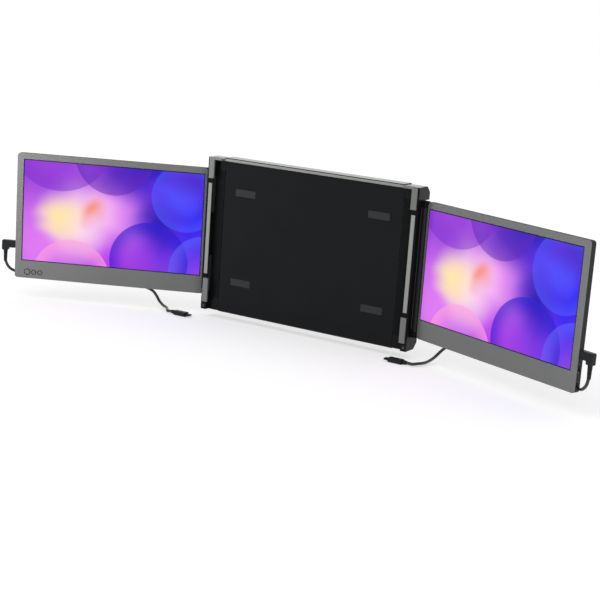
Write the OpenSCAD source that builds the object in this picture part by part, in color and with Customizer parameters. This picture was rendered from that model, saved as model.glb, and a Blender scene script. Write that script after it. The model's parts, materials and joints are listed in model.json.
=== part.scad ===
// Screen extender: a centre housing that stands behind a panel, two side
// frames that slide outwards on rails and grip that panel's edges, and a
// monitor hinged to each side frame.
// Millimetres. +X right and +Z up as the user sees it; the user is at -Y.
// The origin is the middle of the face that the held panel's back rests on.

/* [Held panel] */
// Height of the panel that is held
held_h = 208; // [204:0.5:212]
// Depth of the slot that takes the panel's thickness
slot_d = 6; // [5:0.25:7]

/* [Centre housing] */
// Width of the housing between the side frames' corners
housing_w = 274; // [260:1:290]
// How far a corner cap reaches in past the held panel's edge
corner_in = 15; // [13:0.5:18]
// Depth of the rails' bars, front to back
bar_d = 22; // [20:0.5:25]
// Height of the upper and lower bars
bar_h = 17; // [16.5:0.5:18]
// Height of the upper bar above the held panel
lip_h = 5; // [4:0.5:7]
// Thickness of the wall between the bars
wall_t = 10; // [8:0.5:12]
// Thickness of the cover plates on the back
cover_t = 2; // [1.5:0.25:2.5]

/* [Rails] */
// Height of a rail
rail_h = 8; // [6:0.5:8.5]
// Thickness of a rail
rail_t = 5; // [4:0.5:6]
// Length of rail inside the housing with the frames closed
rail_in = 112; // [90:1:120]
// Length of rail inside a corner cap
rail_seat = 14; // [10:1:18]

/* [Side frames] */
// Width of a post, seen from the front
post_w = 8.5; // [8:0.25:9.5]
// Thickness of the rubber between the panel's edge and the post
pad_t = 1; // [0.5:0.25:1.5]
// Length of the upper grip along the post
grip_len = 26; // [20:1:30]
// Length of the lower grip along the post
lower_grip_len = 33.5; // [28:0.5:36]
// How far a grip reaches over the panel's front
grip_over = 1; // [0.5:0.25:2.5]
// Thickness of a grip's hook
grip_t = 2.5; // [2:0.25:3]
// Length of the gaps between the grips and the front strip
notch_h = 6.5; // [4:0.5:9]
// Slope at the backs of the corner caps
cap_slope = 8; // [6:0.5:8.5]

/* [Monitors] */
// Width of the picture
screen_w = 256; // [246:1:262]
// Height of the picture
screen_h = 144; // [140:1:146]
// Width of the bezel at each side
side_bezel = 9; // [8.5:0.25:11]
// Height of the bezel above the picture
top_bezel = 8; // [7:0.25:9]
// Height of the strip below the picture
chin_h = 25; // [24:0.5:26]
// Thickness of a monitor
monitor_t = 9; // [8.75:0.25:10]
// Wall thickness of the rear shell
shell_wall = 1.6; // [1.2:0.1:1.8]
// Thickness of the front bezel
bezel_t = 1.6; // [1.2:0.1:1.8]
// Thickness of the display behind the bezel
display_t = 2.4; // [2:0.1:2.6]
// Radius of a monitor's corners
corner_r = 4; // [3:0.5:5]
// Angle of the right monitor out of the held panel's plane
right_angle = 21; // [10:1:40]
// Angle of the left monitor out of the held panel's plane
left_angle = 26; // [10:1:40]

/* [Hinges] */
// Radius of the hinge barrel
barrel_r = 5; // [4.5:0.25:5.5]
// Diameter of a hinge pin
pin_d = 4; // [3:0.25:5]
// Length of a hinge pin
pin_len = 26; // [20:1:40]
// Height of a hinge ear
ear_h = 8; // [6:0.5:10]
// Distance of the monitor's face in front of the hinge axis
face_off = 2.8; // [2.6:0.1:3.2]

/* [Support foot] */
// Width of the foot that folds out at the back
foot_w = 120; // [100:1:130]
// Length of the foot from its pin
foot_len = 64; // [54:1:70]
// Thickness of the foot
foot_t = 3.5; // [3:0.25:4]
// Height of the foot's pin above the lower bar
foot_up = 12; // [10:0.5:16]

/* [Buttons and sockets] */
// Diameter of the large button
button_d = 7.5; // [6:0.25:8]
// Diameter of the small buttons
small_button_d = 5.5; // [4.5:0.25:6]
// How far a button goes in
button_travel = 0.5; // [0.4:0.1:0.8]
// Width of a socket's opening
socket_w = 9; // [8.5:0.1:9.5]
// Height of a socket's opening
socket_t = 3.2; // [3:0.1:3.4]

// How far the large button is from the monitor's outer edge
button_in = 18; // [16:0.5:24]
// Distance from the large button to the next one
menu_step = 9.3; // [9:0.1:11]
// Distance between the small buttons
button_step = 9; // [8:0.1:11]

/* [Cables] */
// Diameter of the cables
cord_d = 4; // [3.5:0.25:4.5]
// How far the angled plug stands out of the monitor
plug_reach = 20; // [16:0.5:26]

/* [Hidden] */

$fn = 48;
gap = 0.3;                           // clearance between neighbouring mouldings
pin_fit = 0.05;                      // clearance of a pin or screw in its bore
slide_fit = 0.2;                     // clearance of a rail in its channel
held_w = housing_w + 2 * corner_in;  // width of the panel with the frames closed
monitor_w = screen_w + 2 * side_bezel;
monitor_h = chin_h + screen_h + top_bezel;
cap_wall = 3;                        // least material of a corner cap round its rail
// overall height, with a 2 mm lower step; the caps clear the monitors too
frame_h = max(held_h + lip_h + 2, monitor_h + 2 * (gap + rail_h + 2 * cap_wall));
half_h = frame_h / 2;
held_z0 = 2 - half_h;
held_top = held_z0 + held_h;
half_w = housing_w / 2;
lip_y = 2 - slot_d;                  // front of the lips over the panel's top
lip_z = held_top + 0.6;              // underside of those lips
bar_z0 = half_h - bar_h;             // inner edge of a bar
cover_y = bar_d - cover_t;
cover_z1 = half_h - 3;               // outer edge of a cover plate
rail_z = bar_z0 + 1.5 + rail_h / 2;
rail_y = cover_y - slide_fit - rail_t / 2;
rail_x0 = half_w - rail_in;
rail_x1 = half_w + gap + rail_seat;
strip_t = 1.5;                       // front strip's thickness
front_y = -slot_d - grip_t;          // front of the grips and the strips
post_y0 = front_y + strip_t;
post_y1 = 3;                         // back of a post between its ears
post_x0 = held_w / 2 + pad_t;        // inner face of a post
post_x1 = post_x0 + post_w;          // outer face of a post
face_x1 = post_x1 - 2.5;             // outer end of the plates on its front
screen_z0 = chin_h - monitor_h / 2;
cap_z = monitor_h / 2 + gap;         // inner end of a corner cap
cap_top = half_h - 1;
cap_back = bar_d + 1;
hinge_x = post_x1 + 3.5;
hinge_y = post_y1 + barrel_r + 0.5;
ear_z = monitor_h / 2 - ear_h;       // inner end of an ear
shell_x0 = barrel_r + 1.2;           // where the bezel starts, clear of the ears
shell_y1 = monitor_t - face_off;     // back of a monitor from the hinge axis
bezel_y1 = bezel_t - face_off;       // back of the bezel
rib_x1 = hinge_x - shell_y1 - 0.5;   // outer face of the rib behind a post
board_t = 1.2;
board_y = shell_y1 - shell_wall - board_t;
chip_t = 1;
socket_y = board_y - socket_t / 2;
socket_depth = 7;
shell_t = 0.3;                       // sheet thickness of a socket's shell
plug_z = -42;                        // middle of the socket that is in use
spare_zs = [-59.5, -79];             // middles of the spare sockets
socket_zs = concat([plug_z], spare_zs);
button_z = 9 - monitor_h / 2;

// ---- shared shapes --------------------------------------------------

// A copy on the left of what is drawn on the right.
module on_left() { mirror([1, 0, 0]) children(); }

// Places a shape drawn from the hinge axis (x outwards, -y to the user).
module at_hinge(angle) {
    translate([hinge_x, hinge_y, 0]) rotate([0, 0, -angle]) children();
}

module block(x0, x1, y0, y1, z0, z1) {
    translate([x0, y0, z0]) cube([x1 - x0, y1 - y0, z1 - z0]);
}

module round_rect(x0, x1, z0, z1, r) {
    translate([x0 + r, z0]) square([x1 - x0 - 2 * r, z1 - z0]);
    translate([x0, z0 + r]) square([x1 - x0, z1 - z0 - 2 * r]);
    for (x = [x0 + r, x1 - r], z = [z0 + r, z1 - r]) translate([x, z]) circle(r);
}

// A plate in the XZ plane with its four corners rounded.
module round_plate(x0, x1, y0, y1, z0, z1, r) {
    translate([0, y1, 0]) rotate([90, 0, 0]) linear_extrude(y1 - y0)
        round_rect(x0, x1, z0, z1, r);
}

// A bar along X with half-round ends, w along Z and t along Y.
module slot_bar(x0, x1, y, z, w, t) {
    translate([x0, y, z]) rotate([90, 0, 90]) linear_extrude(x1 - x0)
        round_rect(-t / 2, t / 2, -w / 2, w / 2, t / 2 - 0.01);
}

module rod_y(x, z, y0, y1, r) {
    translate([x, y1, z]) rotate([90, 0, 0]) cylinder(h = y1 - y0, r = r);
}

module rod_x(y, z, x0, x1, r) {
    translate([x0, y, z]) rotate([0, 90, 0]) cylinder(h = x1 - x0, r = r);
}

module rod_z(x, y, z0, z1, r) {
    translate([x, y, z0]) cylinder(h = z1 - z0, r = r);
}

screw_r = 1;
head_r = 1.8;
head_t = 0.8;

// A flat-headed screw with a cross slot, the outside of its head at y.
module back_screw(x, y, z, length) {
    rod_y(x, z, y - length, y - head_t, screw_r);
    difference() {
        rod_y(x, z, y - head_t, y, head_r);
        for (size = [[2.2, 0.8, 0.5], [0.5, 0.8, 2.2]])
            translate([x, y, z]) cube(size, center = true);
    }
}

module screw_hole(x, y, z, length) {
    rod_y(x, z, y - length - 0.1, y + 1, screw_r + pin_fit);
    rod_y(x, z, y - head_t, y + 1, head_r + pin_fit);
}

// ---- centre housing --------------------------------------------------

cover_screw_xs = [-half_w + 12, -half_w / 3, half_w / 3, half_w - 12];
cover_screw_z = cover_z1 - head_r - 0.3;
cover_screw_len = 5.5;
pad_x = half_w - 34;
pad_z = 62;
pad_w = 32;
pad_h = 10;
tray_d = 0.6;
foot_pin_r = 1.5;
foot_r = 3;                          // radius of the foot's barrel
foot_z = foot_up - bar_z0;           // height of the foot's pin
foot_y = wall_t + foot_r;
foot_neck = 86;                      // width of the foot's barrel
foot_ear_w = 6;
foot_sink = 1.6;                     // how deep the folded foot lies in the wall

// Side profile of the housing: a wall between two deep bars.
module housing_profile() {
    polygon([[0, 1.5 - half_h], [1.5, -half_h], [cover_y - 3, -half_h],
        [cover_y, 3 - half_h], [cover_y, -bar_z0], [wall_t, -bar_z0], [wall_t, bar_z0],
        [cover_y, bar_z0], [cover_y, half_h - 3], [cover_y - 3, half_h],
        [lip_y + 1, half_h], [lip_y, half_h - 1], [lip_y, lip_z], [0, lip_z]]);
}

// The ears that hold the foot's pin.
module foot_ears() for (x = [-1, 1] * (foot_neck / 2 + gap + foot_ear_w / 2)) {
    x0 = x - foot_ear_w / 2;
    block(x0, x0 + foot_ear_w, wall_t - 3, foot_y, foot_z - foot_r, foot_z + foot_r);
    rod_x(foot_y, foot_z, x0, x0 + foot_ear_w, foot_r);
}

module centre_housing() color("#2b2c2e") difference() {
    union() {
        difference() {
            translate([-half_w, 0, 0]) rotate([90, 0, 90]) linear_extrude(housing_w)
                housing_profile();
            round_plate(-foot_w / 2 - 1, foot_w / 2 + 1, wall_t - foot_sink - 0.4,
                wall_t + 1, foot_z - 4, foot_z + foot_len + 3, 3);
        }
        foot_ears();
    }
    // channels for the rails, closed at the middle
    for (s = [-1, 1], x0 = [rail_x0 - 2, -half_w - 1])
        block(x0, x0 + rail_in + 3, rail_y - rail_t / 2 - slide_fit, cover_y + 1,
            s * rail_z - rail_h / 2 - slide_fit, s * rail_z + rail_h / 2 + slide_fit);
    rod_x(foot_y, foot_z, -foot_w, foot_w, foot_pin_r);
    for (x = [-pad_x, pad_x], z = [-pad_z, pad_z])
        block(x - pad_w / 2, x + pad_w / 2, -1, tray_d, z - pad_h / 2, z + pad_h / 2);
    for (s = [-1, 1], x = cover_screw_xs)
        screw_hole(x, bar_d, s * cover_screw_z, cover_screw_len);
}

module rear_covers() color("#222325") for (s = [0, 1]) mirror([0, 0, s]) difference() {
    block(-half_w, half_w, cover_y, bar_d, bar_z0, cover_z1);
    for (x = cover_screw_xs) screw_hole(x, bar_d, cover_screw_z, cover_screw_len);
}

module cover_screws() color("#55585c") for (s = [-1, 1], x = cover_screw_xs)
    back_screw(x, bar_d, s * cover_screw_z, cover_screw_len);

module panel_pads() color("#3c3d40") for (x = [-pad_x, pad_x], z = [-pad_z, pad_z])
    block(x - pad_w / 2 + 0.2, x + pad_w / 2 - 0.2, 0, tray_d, z - pad_h / 2 + 0.2,
        z + pad_h / 2 - 0.2);

module support_foot() color("#2f3133") difference() {
    union() {
        round_plate(-foot_w / 2, foot_w / 2, wall_t - foot_sink,
            wall_t - foot_sink + foot_t, foot_z + 5, foot_z + foot_len, 2.5);
        block(-foot_neck / 2, foot_neck / 2, wall_t - foot_sink,
            wall_t - foot_sink + foot_t, foot_z, foot_z + 6);
        rod_x(foot_y, foot_z, -foot_neck / 2, foot_neck / 2, foot_r);
    }
    rod_x(foot_y, foot_z, -foot_w, foot_w, foot_pin_r + pin_fit);
}

module foot_pin() color("#8c8f94") {
    x1 = foot_neck / 2 + gap + foot_ear_w;
    rod_x(foot_y, foot_z, -x1, x1, foot_pin_r);
}

// Rubber along the foot's free edge.
module foot_rubber() color("#3c3d40") block(-foot_w / 2 + 8, foot_w / 2 - 8,
    wall_t - foot_sink + 0.3, wall_t - foot_sink + foot_t - 0.3, foot_z + foot_len,
    foot_z + foot_len + 2);

// ---- side frames, drawn on the right ----------------------------------

grip_x0 = held_w / 2 - grip_over;
upper_grip_z0 = held_top + 1 - grip_len;
lower_grip_z0 = held_z0 + 10;
lower_grip_z1 = lower_grip_z0 + lower_grip_len;
strip_z0 = lower_grip_z1 + notch_h;
strip_z1 = upper_grip_z0 - notch_h;
cap_screw_x = post_x1 - 12;
cap_screw_z = cap_z + 5;
front_screw_x = post_x0 + post_w / 2;
front_screw_z = 5 - cap_top;

module post_profile() {
    r = 1;
    translate([post_x0, post_y0]) square([post_w - r, post_y1 - post_y0]);
    translate([post_x0, post_y0 + r]) square([post_w, post_y1 - post_y0 - 2 * r]);
    for (y = [post_y0 + r, post_y1 - r]) translate([post_x1 - r, y]) circle(r);
    // the flange behind the panel's edge, and a rib beside the barrel
    flange_x0 = half_w + gap + 0.5;
    translate([flange_x0, 0]) square([post_x0 + 1 - flange_x0, post_y1]);
    translate([post_x0, 0]) square([rib_x1 - post_x0, hinge_y + barrel_r]);
}

module post() difference() {
    union() {
        translate([0, 0, -cap_z]) linear_extrude(2 * cap_z) post_profile();
        for (z0 = [-monitor_h / 2, ear_z]) {
            block(post_x0, post_x1, post_y1 - 1, hinge_y + barrel_r, z0, z0 + ear_h);
            block(post_x1 - 1, hinge_x, hinge_y - barrel_r, hinge_y + barrel_r, z0,
                z0 + ear_h);
            rod_z(hinge_x, hinge_y, z0, z0 + ear_h, barrel_r);
        }
    }
    rod_z(hinge_x, hinge_y, -cap_z - 1, cap_z + 1, pin_d / 2);
}

// The light strip along the post's front, its edges cut back.
module front_strip() translate([0, 0, strip_z0]) linear_extrude(strip_z1 - strip_z0)
    polygon([[post_x0, post_y0], [post_x0, front_y + 0.5], [post_x0 + 0.5, front_y],
        [face_x1 - 0.8, front_y], [face_x1 - 0.3, front_y + 0.5], [face_x1 - 0.3, post_y0]]);

// Side profile of a corner cap; its back is sloped at the outer end.
module cap_profile(lip) polygon(concat(
    [[0, cap_z], [cap_back, cap_z], [cap_back, cap_top - cap_slope],
        [cap_back - cap_slope, cap_top]],
    lip ? [[lip_y, cap_top], [lip_y, lip_z], [0, lip_z]] : [[0, cap_top]]));

module corner_cap(lip) difference() {
    union() {
        translate([half_w + gap, 0, 0]) rotate([90, 0, 90])
            linear_extrude(post_x1 - half_w - gap) cap_profile(lip);
        block(post_x0, post_x1, post_y0, 1, cap_z, cap_top);
    }
    block(half_w, rail_x1 + pin_fit, rail_y - rail_t / 2 - pin_fit,
        rail_y + rail_t / 2 + pin_fit, rail_z - rail_h / 2 - pin_fit,
        rail_z + rail_h / 2 + pin_fit);
    screw_hole(cap_screw_x, cap_back, cap_screw_z, 2.4);
    if (!lip) mirror([0, 0, 1]) mirror([0, 1, 0])
        screw_hole(front_screw_x, -post_y0, front_screw_z, 4);
}

// Hooks over the panel's front; the upper one also turns along its top.
module grips() {
    block(grip_x0, post_x0, front_y, -slot_d, upper_grip_z0, lip_z + 0.2);
    block(post_x0 - 1, face_x1, front_y, post_y0, upper_grip_z0, cap_top - 0.5);
    block(half_w + 2, face_x1, front_y, post_y0, lip_z + 0.2, cap_top - 0.5);
    block(half_w + 2, post_x0 - 0.3, post_y0 - 0.5, lip_y, lip_z + 0.2, cap_top - 0.5);
    block(grip_x0, post_x0, front_y, -slot_d, lower_grip_z0, lower_grip_z1);
    block(post_x0 - 1, face_x1, front_y, post_y0, lower_grip_z0, lower_grip_z1);
}

edge_pad_z = 55;                     // middle of a pad on a post's inner face
edge_pad_len = 50;

module edge_pads() for (z = [-edge_pad_z, edge_pad_z]) block(held_w / 2, post_x0,
    -slot_d + 0.5, -0.5, z - edge_pad_len / 2, z + edge_pad_len / 2);

module rails() for (s = [-1, 1]) difference() {
    block(rail_x0, rail_x1, rail_y - rail_t / 2, rail_y + rail_t / 2,
        s * rail_z - rail_h / 2, s * rail_z + rail_h / 2);
    // holes that lighten the rail
    for (x = [rail_x0 + 8:12:half_w - 8]) rod_y(x, s * rail_z, 0, bar_d, 1.4);
}

module hinge_pins() for (s = [0, 1]) mirror([0, 0, s])
    rod_z(hinge_x, hinge_y, monitor_h / 2 - pin_len, monitor_h / 2 - 0.1, pin_d / 2);

module cap_screws() {
    for (s = [-1, 1]) back_screw(cap_screw_x, cap_back, s * cap_screw_z, 2.4);
    mirror([0, 1, 0]) back_screw(front_screw_x, -post_y0, front_screw_z, 4);
}

module left_post() color("#1f2022") on_left() post();
module right_post() color("#1f2022") post();
module left_front_strip() color("#8e918f") on_left() front_strip();
module right_front_strip() color("#8e918f") front_strip();
module left_upper_cap() color("#2a2b2d") on_left() corner_cap(true);
module right_upper_cap() color("#2a2b2d") corner_cap(true);
module left_lower_cap() color("#2a2b2d") on_left() mirror([0, 0, 1]) corner_cap(false);
module right_lower_cap() color("#2a2b2d") mirror([0, 0, 1]) corner_cap(false);
module left_grips() color("#74777a") on_left() grips();
module right_grips() color("#74777a") grips();
module left_edge_pads() color("#3c3d40") on_left() edge_pads();
module right_edge_pads() color("#3c3d40") edge_pads();
module left_rails() color("#a7aaad") on_left() rails();
module right_rails() color("#a7aaad") rails();
module left_hinge_pins() color("#8c8f94") on_left() hinge_pins();
module right_hinge_pins() color("#8c8f94") hinge_pins();
module left_cap_screws() color("#8c8f94") on_left() cap_screws();
module right_cap_screws() color("#8c8f94") cap_screws();

// ---- monitors, drawn from the hinge axis -------------------------------

menu_x = monitor_w - button_in;
minus_x = menu_x - menu_step;
plus_x = minus_x - button_step;
buttons = [[menu_x, button_d], [minus_x, small_button_d], [plus_x, small_button_d]];
display_lap = 1.5;                   // how far the display goes under the bezel
shell_screw_len = 3.4;
boss_in = 4.2;                       // of the screws' bosses, from a monitor's edge
boss_r = 2.2;
shell_screw_at = [for (x = [24, monitor_w / 2, monitor_w - 24], s = [-1, 1])
    [x, s * (monitor_h / 2 - boss_in)]];

module bezel(with_buttons) difference() {
    round_plate(shell_x0, monitor_w, -face_off, bezel_y1, -monitor_h / 2, monitor_h / 2,
        corner_r);
    block(side_bezel, side_bezel + screen_w, -face_off - 1, bezel_y1 + 1, screen_z0,
        screen_z0 + screen_h);
    if (with_buttons) for (b = buttons)
        rod_y(b[0], button_z, -face_off - 1, bezel_y1 + 1, b[1] / 2);
}

// The panel sits behind the bezel and its glass fills the opening.
module display() {
    block(side_bezel - display_lap, side_bezel + screen_w + display_lap, bezel_y1,
        bezel_y1 + display_t, screen_z0 - display_lap, screen_z0 + screen_h + display_lap);
    block(side_bezel + 0.15, side_bezel + screen_w - 0.15, -face_off + 0.4, bezel_y1 + 0.5,
        screen_z0 + 0.15, screen_z0 + screen_h - 0.15);
}

// Outer body of the shell, with the hinge barrel between the ears.
module shell_body() difference() {
    union() {
        round_plate(0, monitor_w, bezel_y1, shell_y1, -monitor_h / 2, monitor_h / 2,
            corner_r);
        rod_z(0, 0, gap - ear_z, ear_z - gap, barrel_r);
        block(0, shell_x0, -face_off, bezel_y1 + 1, gap - ear_z, ear_z - gap);
    }
    // the hollow behind the display
    block(side_bezel - display_lap - 0.2, monitor_w - shell_wall, bezel_y1 - 1,
        shell_y1 - shell_wall, shell_wall - monitor_h / 2, monitor_h / 2 - shell_wall);
}

module rear_shell() difference() {
    union() {
        shell_body();
        for (p = shell_screw_at) rod_y(p[0], p[1], bezel_y1 + 0.1, shell_y1 - 1, boss_r);
    }
    // corners cut away round the ears
    for (s = [0, 1]) mirror([0, 0, s])
        block(-1, shell_x0, -face_off - 1, shell_y1 + 1, ear_z - gap, monitor_h / 2 + 1);
    for (s = [0, 1]) mirror([0, 0, s])
        rod_z(0, 0, monitor_h / 2 - pin_len - 1, monitor_h / 2, pin_d / 2 + pin_fit);
    for (z = socket_zs)
        slot_bar(monitor_w - 3, monitor_w + 1, socket_y, z, socket_w + 0.1, socket_t + 0.1);
    for (p = shell_screw_at) screw_hole(p[0], shell_y1, p[1], shell_screw_len);
}

board_z0 = boss_in + boss_r + gap - monitor_h / 2;
board_x0 = monitor_w - 46;           // inner edge of the board
board_x1 = monitor_w - shell_wall - 0.5;
board_z1 = -30;
key_board_x1 = monitor_w - 10;       // outer end of the strip behind the buttons
key_board_z1 = -70;
chip_w = 10;
chip_x = board_x0 + 4;               // inner edge of the first chip
chip_z = -52;                        // lower edge of the first chip
next_chip_x = board_x0 + 20;

module circuit_board(with_buttons) {
    block(board_x0, board_x1, board_y, board_y + board_t, board_z0 + 5, board_z1);
    block(chip_x, chip_x + chip_w, board_y - chip_t, board_y, chip_z, chip_z + 12);
    block(next_chip_x, next_chip_x + 12, board_y - chip_t, board_y, chip_z + 2, chip_z + 14);
    if (with_buttons) {
        block(plus_x - 5, key_board_x1, board_y, board_y + board_t, board_z0,
            key_board_z1);
        for (b = buttons) rod_y(b[0], button_z, board_y - chip_t, board_y, 1.6);
    }
}

// Sheet-metal shells of the sockets, closed behind.
module socket_shells() for (z = socket_zs) difference() {
    slot_bar(monitor_w - socket_depth, monitor_w - 0.3, socket_y, z, socket_w, socket_t);
    slot_bar(monitor_w - socket_depth + shell_t, monitor_w, socket_y, z,
        socket_w - 2 * shell_t, socket_t - 2 * shell_t);
}

module shell_screws() for (p = shell_screw_at)
    back_screw(p[0], shell_y1, p[1], shell_screw_len);

// A button's cap stands in the bezel and its flange keeps it in.
module button(x, d) {
    rod_y(x, button_z, -face_off - 0.3, bezel_y1 + 0.5, d / 2 - 0.2);
    rod_y(x, button_z, bezel_y1 + 0.1, bezel_y1 + 1, d / 2 + 0.5);
    rod_y(x, button_z, bezel_y1 + 0.5, board_y - chip_t - button_travel - 0.1, 1.2);
}

module left_bezel() color("#67686a") on_left() at_hinge(left_angle) bezel(true);
module right_bezel() color("#67686a") at_hinge(right_angle) bezel(false);
module left_display() color("#5a3bd0") on_left() at_hinge(left_angle) display();
module right_display() color("#5a3bd0") at_hinge(right_angle) display();
module left_rear_shell() color("#1c1d1f") on_left() at_hinge(left_angle) rear_shell();
module right_rear_shell() color("#1c1d1f") at_hinge(right_angle) rear_shell();
module left_circuit_board() color("#1e5a37") on_left() at_hinge(left_angle)
    circuit_board(true);
module right_circuit_board() color("#1e5a37") at_hinge(right_angle) circuit_board(false);
module left_socket_shells() color("#9a9da1") on_left() at_hinge(left_angle) socket_shells();
module right_socket_shells() color("#9a9da1") at_hinge(right_angle) socket_shells();
module left_shell_screws() color("#55585c") on_left() at_hinge(left_angle) shell_screws();
module right_shell_screws() color("#55585c") at_hinge(right_angle) shell_screws();
module menu_button() color("#77787b") on_left() at_hinge(left_angle)
    button(menu_x, button_d);
module minus_button() color("#77787b") on_left() at_hinge(left_angle)
    button(minus_x, small_button_d);
module plus_button() color("#77787b") on_left() at_hinge(left_angle)
    button(plus_x, small_button_d);

// ---- cables --------------------------------------------------------------

plug_x = monitor_w + plug_reach;     // outer face of the angled plug
plug_leg = 9.5;                      // width of its downward leg
plug_t = 6.4;
plug_low_z = plug_z - 9;             // lower end of that leg
relief_z = plug_z - 18;              // lower end of its strain relief
tip_play = 0.15;                     // clearance of a plug's tip in its socket
tip_w = socket_w - 2 * shell_t - 2 * tip_play;
tip_t = socket_t - 2 * shell_t - 2 * tip_play;

// The angled plug in the monitor's outer edge.
module screen_plug() {
    slot_bar(monitor_w - 5, monitor_w + 1, socket_y, plug_z, tip_w, tip_t);
    round_plate(monitor_w + gap, plug_x, socket_y - plug_t / 2, socket_y + plug_t / 2,
        plug_z - 5.2, plug_z + 5.2, 1.5);
    round_plate(plug_x - plug_leg, plug_x, socket_y - plug_t / 2, socket_y + plug_t / 2,
        plug_low_z, plug_z + 1, 1.5);
    translate([plug_x - plug_leg / 2, socket_y, relief_z])
        cylinder(h = plug_low_z - relief_z + 1, r1 = cord_d / 2 + 0.5, r2 = 3.1);
}

end_plug_y = -26;
end_plug_z = -half_h - 7;
end_body_w = 11;
end_body_h = 6.4;
tip_len = 6.5;
end_body_len = 19;
end_relief_len = 6;
end_plug_len = tip_len + end_body_len + end_relief_len;

// The straight plug at the cable's other end, its tip at x.
module end_plug(x) translate([x, end_plug_y, end_plug_z]) {
    rotate([90, 0, 90]) linear_extrude(tip_len + 1)
        round_rect(-tip_w / 2, tip_w / 2, -tip_t / 2, tip_t / 2, tip_t / 2 - 0.01);
    translate([tip_len, 0, 0]) rotate([90, 0, 90]) linear_extrude(end_body_len)
        round_rect(-end_body_w / 2, end_body_w / 2, -end_body_h / 2, end_body_h / 2, 2.6);
    translate([end_plug_len - end_relief_len, 0, 0]) rotate([0, 90, 0])
        cylinder(h = end_relief_len, r1 = 3.1, r2 = cord_d / 2 + 0.5);
}

// Cable routes from the angled plug to the straight one, in the
// monitor's own frame: outwards, backwards, up.
right_tip_x = 142.5;
left_tip_x = 165;
function to_monitor(p, angle) = let (d = p - [hinge_x, hinge_y, 0])
    [d.x * cos(angle) - d.y * sin(angle), d.x * sin(angle) + d.y * cos(angle), d.z];
cord_start = [plug_x - plug_leg / 2, socket_y, relief_z];
function cord_end(tip_x, angle) = [for (ahead = [8, 4, 0])
    to_monitor([tip_x + end_plug_len + ahead, end_plug_y, end_plug_z], angle)];
right_route = concat([cord_start, cord_start - [0, 0, 4]],
    [[287, 4, -72], [282, 8, -79], [273, 11, -83], [260, 13, -85], [235, 14, -86],
     [200, 15, -87], [165, 15, -87], [130, 15, -87], [95, 16, -87], [66, 17, -88],
     [46, 19, -91], [35, 21, -97], [28, 20, -104], [26, 14, -110], [28, 4, -113],
     [31, -8, -114], [31, -19, -114]],
    cord_end(right_tip_x, right_angle));
left_route = concat([cord_start, cord_start - [0, 0, 4]],
    [[287, 4, -71], [282, 8, -77], [273, 11, -81], [260, 13, -82], [235, 14, -84],
     [200, 15, -85], [165, 15, -86], [130, 15, -87], [106, 16, -88], [90, 18, -91],
     [79, 20, -96], [73, 20, -103], [68, 16, -109], [61, 9, -113], [54, 0, -114]],
    cord_end(left_tip_x, left_angle));

// Points of a smooth curve through a list of points.
function curve_at(a, b, c, d, t) = 0.5 * ((2 * b) + (c - a) * t
    + (2 * a - 5 * b + 4 * c - d) * t * t + (3 * b - a - 3 * c + d) * t * t * t);
function smooth_route(p, n) = let (last = len(p) - 1) concat(
    [for (i = [0:last - 1], k = [0:n - 1])
        curve_at(p[max(i - 1, 0)], p[i], p[i + 1], p[min(i + 2, last)], k / n)], [p[last]]);
function unit(v) = v / norm(v);
function heading(p, i) = unit(p[min(i + 1, len(p) - 1)] - p[max(i - 1, 0)]);

// A round tube swept along a route, as one closed polyhedron.
module tube(route, d, sides = 8) {
    p = smooth_route(route, 3);
    last = len(p) - 1;
    // each ring's first direction is the one before it, turned with the route
    sideways = [for (i = 0, u = unit(cross(heading(p, 0), [0, 1, 0.2])); i <= last;
        i = i + 1, t = heading(p, min(i, last)), u = unit(u - (u * t) * t)) u];
    points = [for (i = [0:last]) let (u = sideways[i], v = cross(heading(p, i), u))
        for (k = [0:sides - 1]) let (a = 360 * k / sides)
            p[i] + d / 2 * (u * cos(a) + v * sin(a))];
    walls = [for (i = [0:last - 1], k = [0:sides - 1]) let (
            a = i * sides + k, b = i * sides + (k + 1) % sides)
        each [[a, a + sides, b], [b, a + sides, b + sides]]];
    ends = [for (k = [1:sides - 2]) each [[0, k, k + 1],
        [last * sides, last * sides + k + 1, last * sides + k]]];
    polyhedron(points, concat(walls, ends), convexity = 8);
}

module left_screen_plug() color("#3a3b3d") on_left() at_hinge(left_angle) screen_plug();
module right_screen_plug() color("#3a3b3d") at_hinge(right_angle) screen_plug();
module left_cord() color("#222325") on_left() at_hinge(left_angle) tube(left_route, cord_d);
module right_cord() color("#222325") at_hinge(right_angle) tube(right_route, cord_d);
module left_end_plug() color("#3a3b3d") on_left() end_plug(left_tip_x);
module right_end_plug() color("#3a3b3d") end_plug(right_tip_x);

// ---- nodes ---------------------------------------------------------------

centre_housing();
rear_covers();
cover_screws();
panel_pads();
support_foot();
foot_pin();
foot_rubber();
left_post();
left_front_strip();
left_upper_cap();
left_lower_cap();
left_grips();
left_edge_pads();
left_rails();
left_hinge_pins();
left_cap_screws();
right_post();
right_front_strip();
right_upper_cap();
right_lower_cap();
right_grips();
right_edge_pads();
right_rails();
right_hinge_pins();
right_cap_screws();
left_bezel();
left_display();
left_rear_shell();
left_circuit_board();
left_socket_shells();
left_shell_screws();
right_bezel();
right_display();
right_rear_shell();
right_circuit_board();
right_socket_shells();
right_shell_screws();
menu_button();
minus_button();
plus_button();
left_screen_plug();
left_cord();
left_end_plug();
right_screen_plug();
right_cord();
right_end_plug();
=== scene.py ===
# %% [markdown]
# # A screen extender in Blender
# Two monitors hang on side frames that slide out of a centre housing. The
# solids come from a CAD model with real sizes, so this lesson is about the
# finish: soft edges, plastics, anodised metal, lit pictures and cables.

# %% Start: the frame and its box
import json
from math import cos, pi, radians, sin

import bmesh
import bpy
from mathutils import Matrix, Vector


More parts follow.
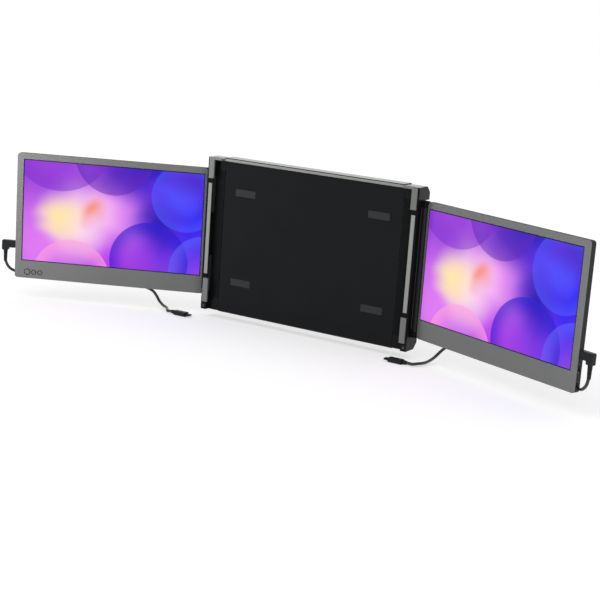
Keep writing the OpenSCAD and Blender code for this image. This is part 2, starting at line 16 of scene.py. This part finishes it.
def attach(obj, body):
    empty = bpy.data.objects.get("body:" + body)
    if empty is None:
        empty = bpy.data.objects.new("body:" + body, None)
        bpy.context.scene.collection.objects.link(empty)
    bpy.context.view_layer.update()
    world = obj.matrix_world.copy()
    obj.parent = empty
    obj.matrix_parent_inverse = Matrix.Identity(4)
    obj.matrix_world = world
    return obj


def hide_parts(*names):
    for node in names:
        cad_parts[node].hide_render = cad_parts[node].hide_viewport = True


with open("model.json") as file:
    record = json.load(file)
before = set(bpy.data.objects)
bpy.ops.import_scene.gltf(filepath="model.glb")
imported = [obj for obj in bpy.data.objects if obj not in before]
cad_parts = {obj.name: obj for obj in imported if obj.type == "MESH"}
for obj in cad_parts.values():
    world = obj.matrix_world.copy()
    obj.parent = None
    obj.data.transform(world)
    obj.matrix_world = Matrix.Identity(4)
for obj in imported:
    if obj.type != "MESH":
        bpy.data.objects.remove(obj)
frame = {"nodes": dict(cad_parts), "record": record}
nodes = frame["nodes"]
scene = bpy.context.scene
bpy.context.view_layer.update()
MM = 0.001
SIDES = ("left", "right")

# %% [markdown]
# The camera is the first thing to settle, because every later choice is
# judged through it. Its place was worked out from the photograph with the
# object's sizes, and is written as a position and three directions.

# %% Camera
CAMERA_AT = Vector((935.1, -1582.2, 343.1)) * MM
CAMERA_RIGHT = Vector((0.84948, 0.52299, 0.06971))
CAMERA_UP = Vector((-0.17256, 0.15053, 0.97343))
LENS = 84.42                       # mm, on a 36 mm square sensor

camera_data = bpy.data.cameras.new("camera")
camera_data.lens = LENS
camera_data.sensor_width = 36
camera_data.clip_end = 50
camera = bpy.data.objects.new("camera", camera_data)
camera_back = CAMERA_RIGHT.cross(CAMERA_UP)
camera.matrix_world = Matrix.Translation(CAMERA_AT) @ Matrix(
    (CAMERA_RIGHT, CAMERA_UP, camera_back)).transposed().to_4x4()
scene.collection.objects.link(camera)
scene.camera = camera
print("camera looks along", [round(-v, 3) for v in camera_back])

# %% [markdown]
# Each monitor turns on a post's hinge. A cable's route is easiest to read in
# the monitor's own frame, so two small functions turn it into the scene's.

# %% Sizes shared with the CAD model
HINGE = (165.0, 8.5)               # x and y of the right hinge, mm
TURN = {"left": 26.0, "right": 21.0}
MONITOR_H = 177.0
BEZEL, CHIN, PICTURE_W, PICTURE_H = 9.0, 25.0, 256.0, 144.0
FACE_Y = -2.8                      # the bezel's face from the hinge axis
FLOOR_Z = -117.7


def place(point, side):
    """A point of a monitor's frame (out, back, up; mm) as a point of the scene (m)."""
    angle = radians(TURN[side])
    x = HINGE[0] + point[0] * cos(angle) + point[1] * sin(angle)
    y = HINGE[1] - point[0] * sin(angle) + point[1] * cos(angle)
    return Vector((x if side == "right" else -x, y, point[2])) * MM


def to_monitor(point, side):
    """The other way round, for a point on the right (mm)."""
    angle = radians(TURN[side])
    x, y = point[0] - HINGE[0], point[1] - HINGE[1]
    return (x * cos(angle) - y * sin(angle), x * sin(angle) + y * cos(angle), point[2])


# %% [markdown]
# ## Cables
# A moulded cable is springy: it leaves both plugs straight and bends in wide
# arcs. A curve with a round bevel shows that best, because its points stay
# editable. The points between the chosen ones come from a Catmull-Rom spline.

# %% Cable routes
CORD_D = 4.0
STEPS = 5                          # points of the curve between two chosen ones
STRAIGHT = 5                       # mm that a cable runs straight below its relief
AHEAD = (8, 4, 0)                  # mm in front of the straight plug, to reach it level
RELIEF = (289.25, 1.8, -60.0)      # where a cable leaves its angled plug
END_PLUG = {"left": (196.5, -26.0, -114.5), "right": (174.0, -26.0, -114.5)}
ROUTES = {
    "right": [(288.5, 2, -69), (286.5, 2.6, -75), (282.5, 3.8, -80), (277, 6.5, -83.5),
              (270, 10.5, -85.5), (258, 13.2, -86.5),
              (235, 14, -86.5), (200, 15, -87), (165, 15, -87), (130, 15, -87),
              (95, 16, -87), (66, 17, -88), (46, 19, -91), (35, 21, -97),
              (28, 20, -104), (26, 14, -110), (28, 4, -113), (31, -8, -114),
              (31, -19, -114)],
    "left": [(288.5, 2, -68), (286.5, 2.6, -73), (282.5, 3.8, -78), (277, 6.5, -81.5),
             (270, 10.5, -83.5), (258, 13.2, -84.5),
             (235, 14, -85), (200, 15, -85.5), (165, 15, -86), (130, 15, -87),
             (106, 16, -88), (90, 18, -91), (79, 20, -96), (73, 20, -103),
             (68, 16, -109), (61, 9, -113), (54, 0, -114)],
}


def smooth(points, steps):
    """Points of a Catmull-Rom spline through the given ones."""
    last = len(points) - 1
    out = []
    for i in range(last):
        a, b = points[max(i - 1, 0)], points[i]
        c, d = points[i + 1], points[min(i + 2, last)]
        for k in range(steps):
            t = k / steps
            out.append(0.5 * (2 * b + (c - a) * t + (2 * a - 5 * b + 4 * c - d) * t * t
                              + (3 * b - a - 3 * c + d) * t ** 3))
    return out + [points[last]]


def cable(side):
    """One cable as a bevelled curve; returns it with its length in metres."""
    ends = [to_monitor((END_PLUG[side][0] + ahead, *END_PLUG[side][1:]), side)
            for ahead in AHEAD]
    below = (RELIEF[0], RELIEF[1], RELIEF[2] - STRAIGHT)
    chosen = [RELIEF, below] + ROUTES[side] + ends
    points = smooth([place(p, side) for p in chosen], STEPS)
    data = bpy.data.curves.new(f"{side}_cable", "CURVE")
    data.dimensions = "3D"
    data.bevel_depth = CORD_D / 2 * MM
    data.bevel_resolution = 5
    data.use_fill_caps = True
    spline = data.splines.new("POLY")
    spline.points.add(len(points) - 1)
    for spot, point in zip(spline.points, points):
        spot.co = (*point, 1)
    spline.use_smooth = True
    piece = bpy.data.objects.new(f"{side}_cable", data)
    scene.collection.objects.link(piece)
    return piece, sum((b - a).length for a, b in zip(points, points[1:]))


cables = {side: cable(side) for side in SIDES}
print("cable lengths", {side: round(length, 3) for side, (_, length) in cables.items()})

# %% [markdown]
# ## Soft edges
# Every moulded or extruded edge has a small radius, and the thin highlight
# along it is what makes a part look made. Each visible CAD solid is copied,
# its triangles are merged back to faces, and its sharp edges are bevelled.

# %% Bevelled copies of the CAD solids
MERGE = 1e-6                       # m; points closer than this are one
FLAT = 0.5                         # degrees; triangles flatter than this are one face
SHARP = 35                         # degrees; edges turning more than this are rounded


def body_of(node):
    """The body that a CAD node belongs to."""
    bodies = frame["record"]["behaviour"]["bodies"]
    return next(name for name, members in bodies.items() if node in members)


def soften(node, radius_mm):
    """A copy of a CAD node with its sharp edges rounded, standing for the node."""
    shape = bmesh.new()
    shape.from_mesh(nodes[node].data)
    bmesh.ops.remove_doubles(shape, verts=shape.verts, dist=MERGE)
    bmesh.ops.dissolve_limit(shape, angle_limit=radians(FLAT), verts=shape.verts,
                             edges=shape.edges)
    sharp = [edge for edge in shape.edges if len(edge.link_faces) == 2
             and edge.calc_face_angle() > radians(SHARP)]
    bmesh.ops.bevel(shape, geom=sharp, offset=radius_mm * MM, offset_type="OFFSET",
                    segments=2, profile=0.5, affect="EDGES", material=-1,
                    clamp_overlap=True)
    for face in shape.faces:
        face.smooth = True
    for edge in shape.edges:
        if len(edge.link_faces) == 2 and edge.calc_face_angle() > radians(SHARP):
            edge.smooth = False
    mesh = bpy.data.meshes.new(f"{node}_soft")
    shape.to_mesh(mesh)
    shape.free()
    piece = bpy.data.objects.new(f"{node}_soft", mesh)
    scene.collection.objects.link(piece)
    # large faces lead the shading, so that a flat face looks flat up to its bevel
    piece.modifiers.new("flat_faces_lead", "WEIGHTED_NORMAL").keep_sharp = True
    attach(piece, body_of(node))
    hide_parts(node)
    return piece


EDGE_RADII = {"centre_housing": 0.5, "rear_covers": 0.4, "support_foot": 0.6}
for side in SIDES:
    EDGE_RADII.update({f"{side}_{part}": radius for part, radius in (
        ("post", 0.3), ("front_strip", 0.2), ("upper_cap", 0.6), ("lower_cap", 0.6),
        ("grips", 0.5), ("bezel", 0.3), ("rear_shell", 0.5), ("screen_plug", 0.6),
        ("end_plug", 0.5))})
shown = {node: soften(node, radius) for node, radius in EDGE_RADII.items()}
shown.update({node: piece for node, piece in nodes.items() if node not in shown})
print("softened", len(EDGE_RADII), "pieces")

# %% [markdown]
# ## Materials
# A material is a small tree of nodes. One function adds a node with its
# settings and links, and another gives the shared start: a Principled shader
# with a measured sRGB colour, a grain that the tool left and a roughness.

# %% Helpers for materials


def linear(code):
    """A colour written as sRGB hex, as the linear numbers that a shader takes."""
    parts = [int(code[i:i + 2], 16) / 255 for i in (1, 3, 5)]
    return tuple(c / 12.92 if c <= 0.04045 else ((c + 0.055) / 1.055) ** 2.4
                 for c in parts) + (1.0,)


def add(tree, kind, sockets=None, **settings):
    """A new node; sockets maps an input's name or number to a value or an output."""
    node = tree.nodes.new(kind)
    for name, value in settings.items():
        setattr(node, name, value)
    for name, value in (sockets or {}).items():
        if isinstance(value, bpy.types.NodeSocket):
            tree.links.new(value, node.inputs[name])
        else:
            node.inputs[name].default_value = value
    return node


def start(name):
    """An empty material's tree, its output and its object coordinates."""
    material = bpy.data.materials.new(name)
    material.use_nodes = True
    tree = material.node_tree
    tree.nodes.clear()
    output = add(tree, "ShaderNodeOutputMaterial")
    coordinates = add(tree, "ShaderNodeTexCoord").outputs["Object"]
    return material, tree, output, coordinates


CLOUDS = 22.0                      # per metre; wide patches where the colour drifts
GLOSS_SPREAD = 0.06                # how far the grain moves a plastic's roughness
GRAIN_DEPTH = 0.1 * MM             # depth of an etched grain
BRUSH_DEPTH = 0.05 * MM            # depth of the lines in drawn metal


def plastic(name, tone, dark, rough, grain_mm, bump, shine=0.35):
    """Moulded plastic: an etched grain moves its colour, gloss and relief a little."""
    material, tree, output, coordinates = start(name)
    grain = add(tree, "ShaderNodeTexNoise", {"Vector": coordinates,
                "Scale": 1 / (grain_mm * MM), "Detail": 3.0}).outputs["Fac"]
    cloud = add(tree, "ShaderNodeTexNoise", {"Vector": coordinates, "Scale": CLOUDS,
                "Detail": 2.0}).outputs["Fac"]
    colour = add(tree, "ShaderNodeMixRGB", {"Fac": cloud, "Color1": linear(dark),
                 "Color2": linear(tone)}).outputs["Color"]
    gloss = add(tree, "ShaderNodeMapRange", {"Value": grain,
                "To Min": rough - GLOSS_SPREAD,
                "To Max": rough + GLOSS_SPREAD}).outputs["Result"]
    relief = add(tree, "ShaderNodeBump", {"Height": grain, "Strength": bump,
                 "Distance": GRAIN_DEPTH}).outputs["Normal"]
    shader = add(tree, "ShaderNodeBsdfPrincipled", {"Base Color": colour,
                 "Roughness": gloss, "Normal": relief, "IOR": 1.53,
                 "Specular IOR Level": shine})
    tree.links.new(shader.outputs["BSDF"], output.inputs["Surface"])
    return material


def metal(name, tone, rough, grain_mm, stretch, metallic=1.0, shine=0.5):
    """Drawn or brushed metal: fine lines, stretched along the stroke."""
    material, tree, output, coordinates = start(name)
    along = add(tree, "ShaderNodeMapping", {"Vector": coordinates,
                "Scale": stretch}).outputs["Vector"]
    lines = add(tree, "ShaderNodeTexNoise", {"Vector": along,
                "Scale": 1 / (grain_mm * MM), "Detail": 4.0}).outputs["Fac"]
    gloss = add(tree, "ShaderNodeMapRange", {"Value": lines, "To Min": rough - 0.08,
                "To Max": rough + 0.1}).outputs["Result"]
    relief = add(tree, "ShaderNodeBump", {"Height": lines, "Strength": 0.15,
                 "Distance": BRUSH_DEPTH}).outputs["Normal"]
    shader = add(tree, "ShaderNodeBsdfPrincipled", {"Base Color": linear(tone),
                 "Metallic": metallic, "Roughness": gloss, "Normal": relief,
                 "Specular IOR Level": shine})
    tree.links.new(shader.outputs["BSDF"], output.inputs["Surface"])
    return material


def wear(pieces, material):
    """Gives a finish to pieces, whatever slots they have."""
    for piece in pieces:
        piece.data.materials.clear()
        piece.data.materials.append(material)


# %% [markdown]
# The monitors' bezels are satin ABS in mid grey. Everything behind them is
# black ABS with an etched grain, which shows as a soft, wide gloss. Grains
# finer than a pixel are drawn about 1 mm coarse so that they still work.

# %% Plastics
# satin grey ABS: an even mid grey that takes the light softly
bezel_abs = plastic("satin_grey_abs", "#5a5b5a", "#545554", 0.42, 0.9, 0.10, 0.3)
# etched black ABS: nearly no highlight, so the monitors' backs recede
black_abs = plastic("etched_black_abs", "#1a1b1c", "#151617", 0.46, 1.0, 0.25, 0.16)
# moulded black ABS: smooth and near black, with only a faint gloss
cap_abs = plastic("moulded_black_abs", "#111213", "#0c0d0e", 0.18, 1.2, 0.08, 0.08)
# satin grip ABS: a lighter grey than the post, worn smooth
grip_abs = plastic("satin_grip_abs", "#5c5e5c", "#555755", 0.38, 0.9, 0.10)
# polished grey ABS on the lip and cap tops: its lighter grey is a painted reflection of
# the room that it mirrors at a low angle, and its low roughness adds a real one
painted_reflection_abs = plastic("grey_abs_painted_reflection", "#6e706c", "#666864", 0.20, 1.2, 0.05, 0.7)
# moulded plug shells: dark and a little glossy
plug_abs = plastic("moulded_plug_abs", "#141517", "#0f1012", 0.38, 0.8, 0.2, 0.15)
# smooth cable jacket: black, with one thin highlight along its length
jacket = plastic("smooth_cable_jacket", "#17181a", "#111214", 0.30, 1.0, 0.05, 0.5)
# soft rubber: greyer and duller than the plastics round it
rubber = plastic("smooth_rubber", "#1f2022", "#191a1b", 0.62, 1.1, 0.3, 0.3)
# satin button caps, a shade from the bezel
button_abs = plastic("satin_button_abs", "#595a59", "#535453", 0.36, 0.9, 0.08)
# green solder mask on the boards inside
board_mask = plastic("green_solder_mask", "#1e5a37", "#174a2c", 0.35, 1.4, 0.1)

# %% Metals
# black anodised posts: dark, with a sheen that runs along the extrusion
black_anodised = metal("black_anodised_aluminium", "#0b0c0d", 0.42, 0.8, (1, 1, 0.04),
                       metallic=0.0, shine=0.06)
# grey anodised strips: the light line down each post
grey_anodised = metal("grey_anodised_aluminium", "#898d88", 0.36, 0.7, (1, 1, 0.03),
                      metallic=0.75)
# drawn aluminium rails: bright, lined along their length
drawn_aluminium = metal("drawn_aluminium", "#c4c6c8", 0.3, 0.6, (0.03, 1, 1))
# blackened screws: small dark points with a glint
black_steel = metal("blackened_steel", "#5a5c60", 0.34, 0.4, (1, 1, 1))
# ground steel pins and sockets: the brightest metal
ground_steel = metal("ground_steel", "#b0b2b5", 0.24, 0.5, (1, 1, 0.1))

# %% Finishes on the pieces
wear([shown[n] for n in ("centre_housing", "support_foot")], cap_abs)
wear([shown["rear_covers"]], black_abs)
wear([shown[n] for n in ("panel_pads", "foot_rubber")], rubber)
wear([shown["cover_screws"]], black_steel)
wear([shown["foot_pin"]], ground_steel)
wear([shown[f"{b}_button"] for b in ("menu", "minus", "plus")], button_abs)
FINISHES = {"post": black_anodised, "front_strip": grey_anodised, "upper_cap": cap_abs,
            "lower_cap": cap_abs, "grips": grip_abs, "edge_pads": rubber,
            "rails": drawn_aluminium, "hinge_pins": ground_steel,
            "cap_screws": black_steel, "bezel": bezel_abs, "rear_shell": black_abs,
            "circuit_board": board_mask, "socket_shells": ground_steel,
            "shell_screws": black_steel, "screen_plug": plug_abs, "end_plug": plug_abs}
for side in SIDES:
    for part, finish in FINISHES.items():
        wear([shown[f"{side}_{part}"]], finish)

# %% [markdown]
# The housing's lip and the tops of the upper caps get a lighter grey painted on,
# while their sides stay black: a painted reflection on the tops and a painted highlight
# along the front lip. A second material on those faces does it: they are found by where
# they are and by the way that they point.
# it: they are found by where they are and by the way that they point.

# %% Painted reflection on the tops and lip
LIP_Z = 102.5                      # mm; the band starts just below the lip
FACING = 0.9                       # a normal's share along an axis that it points along


def paint_reflection_band(node):
    """Paints a lighter grey on the top and the front lip of a piece: painted reflection
    and highlight.
    """
    mesh = shown[node].data
    mesh.materials.append(painted_reflection_abs)
    # painted reflection on the upward faces, painted highlight on the front band above
    # the lip
    painted = [face for face in mesh.polygons if face.center.z > LIP_Z * MM
               and (face.normal.z > FACING or face.normal.y < -FACING)]
    for face in painted:
        face.material_index = 1
    return len(painted)


print("painted faces", [paint_reflection_band(node) for node in
                        ("centre_housing", "left_upper_cap", "right_upper_cap")])

# %% [markdown]
# A strain relief keeps a cable from folding where it leaves its plug. It is
# soft plastic with a few ribs, so it bends in an arc. One cone with grooves
# pressed in by scaling every fourth ring is all that shows at this size.

# %% Ribbed strain reliefs
SLEEVE_LEN, SLEEVE_TOP, SLEEVE_LOW, RIBS = 8.0, 2.75, 2.35, 5
RINGS = 4                          # rings of points to a rib
GROOVE = 0.86                      # a groove's radius, as a share of the cone's there
OVERLAP = 0.5                      # mm that the cone reaches into the plug


def sleeve(side):
    """A short ribbed cone round the cable below its angled plug."""
    shape = bmesh.new()
    bmesh.ops.create_cone(shape, cap_ends=True, cap_tris=False, segments=24,
                          radius1=SLEEVE_LOW * MM, radius2=SLEEVE_TOP * MM,
                          depth=SLEEVE_LEN * MM)
    around = [edge for edge in shape.edges if abs(edge.verts[0].co.z - edge.verts[1].co.z)
              > SLEEVE_LEN / 2 * MM]
    bmesh.ops.subdivide_edges(shape, edges=around, cuts=RINGS * RIBS - 1)
    pitch = SLEEVE_LEN / (RINGS * RIBS) * MM
    for step in range(RINGS // 2, RINGS * RIBS, RINGS):
        level = step * pitch - SLEEVE_LEN / 2 * MM
        groove = [v for v in shape.verts if abs(v.co.z - level) < pitch / 2]
        bmesh.ops.scale(shape, verts=groove, vec=(GROOVE, GROOVE, 1.0))
    bmesh.ops.translate(shape, verts=shape.verts, vec=place(
        (RELIEF[0], RELIEF[1], RELIEF[2] - SLEEVE_LEN / 2 + OVERLAP), side))
    bmesh.ops.recalc_face_normals(shape, faces=shape.faces)
    for face in shape.faces:
        face.smooth = True
    mesh = bpy.data.meshes.new(f"{side}_sleeve")
    shape.to_mesh(mesh)
    shape.free()
    piece = bpy.data.objects.new(f"{side}_sleeve", mesh)
    scene.collection.objects.link(piece)
    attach(piece, f"{side}_monitor")
    wear([piece], plug_abs)
    return piece


sleeves = {side: sleeve(side) for side in SIDES}
print("sleeves", [len(piece.data.vertices) for piece in sleeves.values()])

# %% Cables on their bodies
for side in SIDES:
    piece, length = cables[side]
    wear([piece], jacket)
    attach(piece, f"{side}_monitor")
    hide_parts(f"{side}_cord")

# %% [markdown]
# ## The lit pictures
# A display gives light, so its colour goes to the shader's emission, over a
# dark, glossy base for the glass. The picture is a plain design: soft glows
# of colour, then a few large discs that are strongest at their rims. It is
# measured in shares of the picture's width. A Mapping node undoes the
# monitor's turn, so u runs to the right and v up on both screens.

# %% Colours, glows and discs of the picture
GROUND = "#9a3fe0"
GLOWS = [  # centre u and v, reach, colour, strength in the middle
    (0.00, 0.56, 0.42, "#9a3fd8", 0.95),
    (0.08, 0.10, 0.42, "#e07af2", 0.95),
    (0.42, 0.28, 0.36, "#f09af4", 1.00),
    (0.52, 0.02, 0.30, "#c23cf0", 0.75),
    (0.30, 0.24, 0.26, "#ffdcea", 0.95),
    (0.20, 0.26, 0.17, "#ffe7a6", 0.95),
    (0.37, 0.30, 0.10, "#f5834e", 0.80),
    (0.52, 0.56, 0.26, "#5a1cc4", 0.90),
    (0.70, 0.56, 0.30, "#200eb4", 0.98),
    (0.96, 0.30, 0.46, "#2a16ee", 1.00),
    (0.74, 0.26, 0.18, "#1602ac", 0.95),
    (0.86, 0.40, 0.15, "#4d50ff", 0.70),
    (0.98, 0.56, 0.20, "#180cac", 0.80),
]
DISCS = [  # centre u and v, radius, colour, strength at the rim and in the middle
    (0.20, 0.70, 0.30, "#7a22cc", 0.55, 0.10),
    (0.50, 0.62, 0.22, "#5a16b8", 0.60, 0.15),
    (0.28, -0.08, 0.22, "#ff9fdc", 0.60, 0.10),
    (0.71, 0.05, 0.22, "#2c0cd0", 0.80, 0.25),
    (0.90, 0.42, 0.19, "#4a52ff", 0.55, 0.05),
    (1.02, 0.02, 0.20, "#5a62ff", 0.50, 0.10),
]
GLASS_EDGE = 1.2                   # mm of black border round the lit area


def picture(side):
    """The display of one monitor: a lit design under glass."""
    material, tree, output, coordinates = start(f"{side}_lit_display")
    turn = radians(TURN[side]) * (1 if side == "right" else -1)
    first = BEZEL if side == "right" else BEZEL + PICTURE_W
    corner = place((first, FACE_Y, CHIN - MONITOR_H / 2), side)
    moved = add(tree, "ShaderNodeVectorMath", {0: coordinates, 1: corner},
                operation="SUBTRACT").outputs["Vector"]
    flat = add(tree, "ShaderNodeMapping", {"Vector": moved, "Rotation": (0, 0, turn),
               "Scale": (1 / (PICTURE_W * MM),) * 3}).outputs["Vector"]
    axes = add(tree, "ShaderNodeSeparateXYZ", {"Vector": flat}).outputs
    uv = add(tree, "ShaderNodeCombineXYZ", {"X": axes["X"], "Y": axes["Z"]}).outputs[0]
    # the glows bend a little, as silk does
    drift = add(tree, "ShaderNodeTexNoise", {"Vector": uv, "Scale": 3.2, "Detail": 1.0,
                "Distortion": 0.8}).outputs["Color"]
    bend = add(tree, "ShaderNodeVectorMath", {0: drift, 1: (0.5, 0.5, 0.5)},
               operation="SUBTRACT").outputs["Vector"]
    bent = add(tree, "ShaderNodeVectorMath", {0: bend, 1: (0.16, 0.16, 0), 2: uv},
               operation="MULTIPLY_ADD").outputs["Vector"]
    colour = linear(GROUND)
    for u, v, reach, code, strength in GLOWS:
        away = add(tree, "ShaderNodeVectorMath", {0: bent, 1: (u, v, 0)},
                   operation="DISTANCE").outputs["Value"]
        weight = add(tree, "ShaderNodeMapRange", {"Value": away, "From Min": reach,
                     "From Max": 0.0, "To Max": strength},
                     interpolation_type="SMOOTHSTEP").outputs["Result"]
        colour = add(tree, "ShaderNodeMixRGB", {"Fac": weight, "Color1": colour,
                     "Color2": linear(code)}).outputs["Color"]
    for u, v, radius, code, rim, middle in DISCS:
        away = add(tree, "ShaderNodeVectorMath", {0: uv, 1: (u, v, 0)},
                   operation="DISTANCE").outputs["Value"]
        inside = add(tree, "ShaderNodeMapRange", {"Value": away, "From Min": radius,
                     "From Max": radius - 0.004}).outputs["Result"]
        fade = add(tree, "ShaderNodeMapRange", {"Value": away, "From Min": radius * 0.5,
                   "From Max": radius, "To Min": middle, "To Max": rim},
                   interpolation_type="SMOOTHSTEP").outputs["Result"]
        weight = add(tree, "ShaderNodeMath", {0: inside, 1: fade},
                     operation="MULTIPLY").outputs["Value"]
        colour = add(tree, "ShaderNodeMixRGB", {"Fac": weight, "Color1": colour,
                     "Color2": linear(code)}).outputs["Color"]
    # a black border where the lit area ends
    edge = GLASS_EDGE / PICTURE_W
    height = PICTURE_H / PICTURE_W
    lit = 1.0
    limits = (("X", edge, "GREATER_THAN"), ("X", 1 - edge, "LESS_THAN"),
              ("Z", edge, "GREATER_THAN"), ("Z", height - edge, "LESS_THAN"))
    for axis, limit, test in limits:
        inner = add(tree, "ShaderNodeMath", {0: axes[axis], 1: limit},
                    operation=test).outputs["Value"]
        lit = add(tree, "ShaderNodeMath", {0: lit, 1: inner},
                  operation="MULTIPLY").outputs["Value"]
    shader = add(tree, "ShaderNodeBsdfPrincipled", {"Base Color": linear("#050506"),
                 "Roughness": 0.16, "IOR": 1.5, "Specular IOR Level": 0.12,
                 "Emission Color": colour, "Emission Strength": lit})
    tree.links.new(shader.outputs["BSDF"], output.inputs["Surface"])
    return material


for side in SIDES:
    wear([shown[f"{side}_display"]], picture(side))

# %% [markdown]
# ## Button rings of painted shade
# Each button sits in a moulded groove, whose shade is painted as a dark ring. A flat ring
# made by insetting a disc and dropping its middle is enough, a tenth of a millimetre
# proud.

# %% Dark rings round the buttons: painted groove shade
BUTTON_Z = 9 - MONITOR_H / 2
BUTTONS = ((256, 7.5), (246.7, 5.5), (237.7, 5.5))   # how far out, and the diameter
RING_W, RING_H = 0.8, 0.1
RING_SEAT = 0.06                   # mm from the bezel's face to the ring's plane


def groove_shade_ring(name, out, diameter):
    """A thin flat ring on the left bezel round one button: painted shade for its groove.
    """
    shape = bmesh.new()
    bmesh.ops.create_circle(shape, cap_ends=True, segments=48,
                            radius=(diameter / 2 + RING_W) * MM)
    bmesh.ops.inset_individual(shape, faces=shape.faces[:], thickness=RING_W * MM)
    bmesh.ops.delete(shape, geom=[f for f in shape.faces if len(f.verts) > 4],
                     context="FACES")
    bmesh.ops.solidify(shape, geom=shape.faces[:], thickness=RING_H * MM)
    bmesh.ops.rotate(shape, verts=shape.verts, matrix=Matrix.Rotation(pi / 2, 3, "X"))
    bmesh.ops.rotate(shape, verts=shape.verts,
                     matrix=Matrix.Rotation(radians(TURN["left"]), 3, "Z"))
    bmesh.ops.translate(shape, verts=shape.verts,
                        vec=place((out, FACE_Y - RING_SEAT, BUTTON_Z), "left"))
    bmesh.ops.recalc_face_normals(shape, faces=shape.faces)
    mesh = bpy.data.meshes.new(name)
    shape.to_mesh(mesh)
    shape.free()
    piece = bpy.data.objects.new(name, mesh)
    scene.collection.objects.link(piece)
    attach(piece, "left_monitor")
    return piece


# near-black moulded ABS on the rings: painted shade of the grooves round the buttons
wear([groove_shade_ring(f"button_groove_shade_{i}", *spec) for i, spec in enumerate(BUTTONS)], cap_abs)

# %% [markdown]
# ## Floor and light
# A product picture is shot on white. The floor takes the shadow, and what
# the camera sees of it beyond that is lifted to white, which adds no light.

# %% Floor
FLOOR_REACH = 12                   # m from the middle to a side
FLOOR_TONE = 0.7                   # what the floor gives back
FLOOR_LIFT = 0.46                  # what brings it to white where it is seen


def seen_directly(tree):
    """1 for rays from the camera, mirrored rays and rays through glass, else 0."""
    rays = add(tree, "ShaderNodeLightPath").outputs
    mirrored = add(tree, "ShaderNodeMath", {0: rays["Is Glossy Ray"],
                   1: rays["Is Transmission Ray"]}, operation="MAXIMUM").outputs["Value"]
    return add(tree, "ShaderNodeMath", {0: rays["Is Camera Ray"], 1: mirrored},
               operation="MAXIMUM").outputs["Value"]


floor_shape = bmesh.new()
bmesh.ops.create_grid(floor_shape, x_segments=1, y_segments=1, size=FLOOR_REACH)
bmesh.ops.translate(floor_shape, verts=floor_shape.verts, vec=(0, 0, FLOOR_Z * MM))
floor_mesh = bpy.data.meshes.new("floor")
floor_shape.to_mesh(floor_mesh)
floor_shape.free()
floor = bpy.data.objects.new("floor", floor_mesh)
scene.collection.objects.link(floor)

material, tree, output, _ = start("white_floor")
matte = add(tree, "ShaderNodeBsdfDiffuse", {"Color": (*(FLOOR_TONE,) * 3, 1)})
seen = seen_directly(tree)
lift = add(tree, "ShaderNodeMath", {0: seen, 1: FLOOR_LIFT},
           operation="MULTIPLY").outputs[0]
glow = add(tree, "ShaderNodeEmission", {"Color": (1, 1, 1, 1), "Strength": lift})
both = add(tree, "ShaderNodeAddShader", {0: matte.outputs[0], 1: glow.outputs[0]})
tree.links.new(both.outputs[0], output.inputs["Surface"])
wear([floor], material)

# %% World
ROOM = 0.8                         # light on the object; seen directly, it is 1
world = bpy.data.worlds.new("studio")
world.use_nodes = True
scene.world = world
tree = world.node_tree
tree.nodes.clear()
seen = seen_directly(tree)
level = add(tree, "ShaderNodeMapRange", {"Value": seen, "To Min": ROOM,
            "To Max": 1.0}).outputs["Result"]
sky = add(tree, "ShaderNodeBackground", {"Color": (1, 1, 1, 1), "Strength": level})
add(tree, "ShaderNodeOutputWorld", {"Surface": sky.outputs[0]})

# %% [markdown]
# A big lamp above the camera gives the shadow its direction. Two small ones
# near the outer ends make the bezels fall off towards the posts. They stand
# close to the floor and would wash out its shadow, so light linking takes
# the floor away from them.

# %% Lamps


def lamp(name, at, size, power):
    """A soft square lamp that looks at the object; returns it."""
    data = bpy.data.lights.new(name, "AREA")
    data.size = size
    data.energy = power
    piece = bpy.data.objects.new(name, data)
    piece.location = at
    piece.rotation_euler = (-Vector(at)).to_track_quat("-Z", "Y").to_euler()
    piece.visible_camera = False
    piece.visible_glossy = False
    scene.collection.objects.link(piece)
    return piece


lamp("key", (-0.9, -1.6, 2.0), 1.4, 8)
sides = [lamp("left_side", (-0.54, -0.40, 0.16), 0.3, 5.0),
         lamp("right_side", (0.64, -0.44, 0.16), 0.3, 3.0)]

kept_dark = bpy.data.collections.new("not_lit_by_side_lamps")
kept_dark.objects.link(floor)
kept_dark.collection_objects[0].light_linking.link_state = "EXCLUDE"
for piece in sides:
    piece.light_linking.receiver_collection = kept_dark
scene.view_settings.view_transform = "Standard"
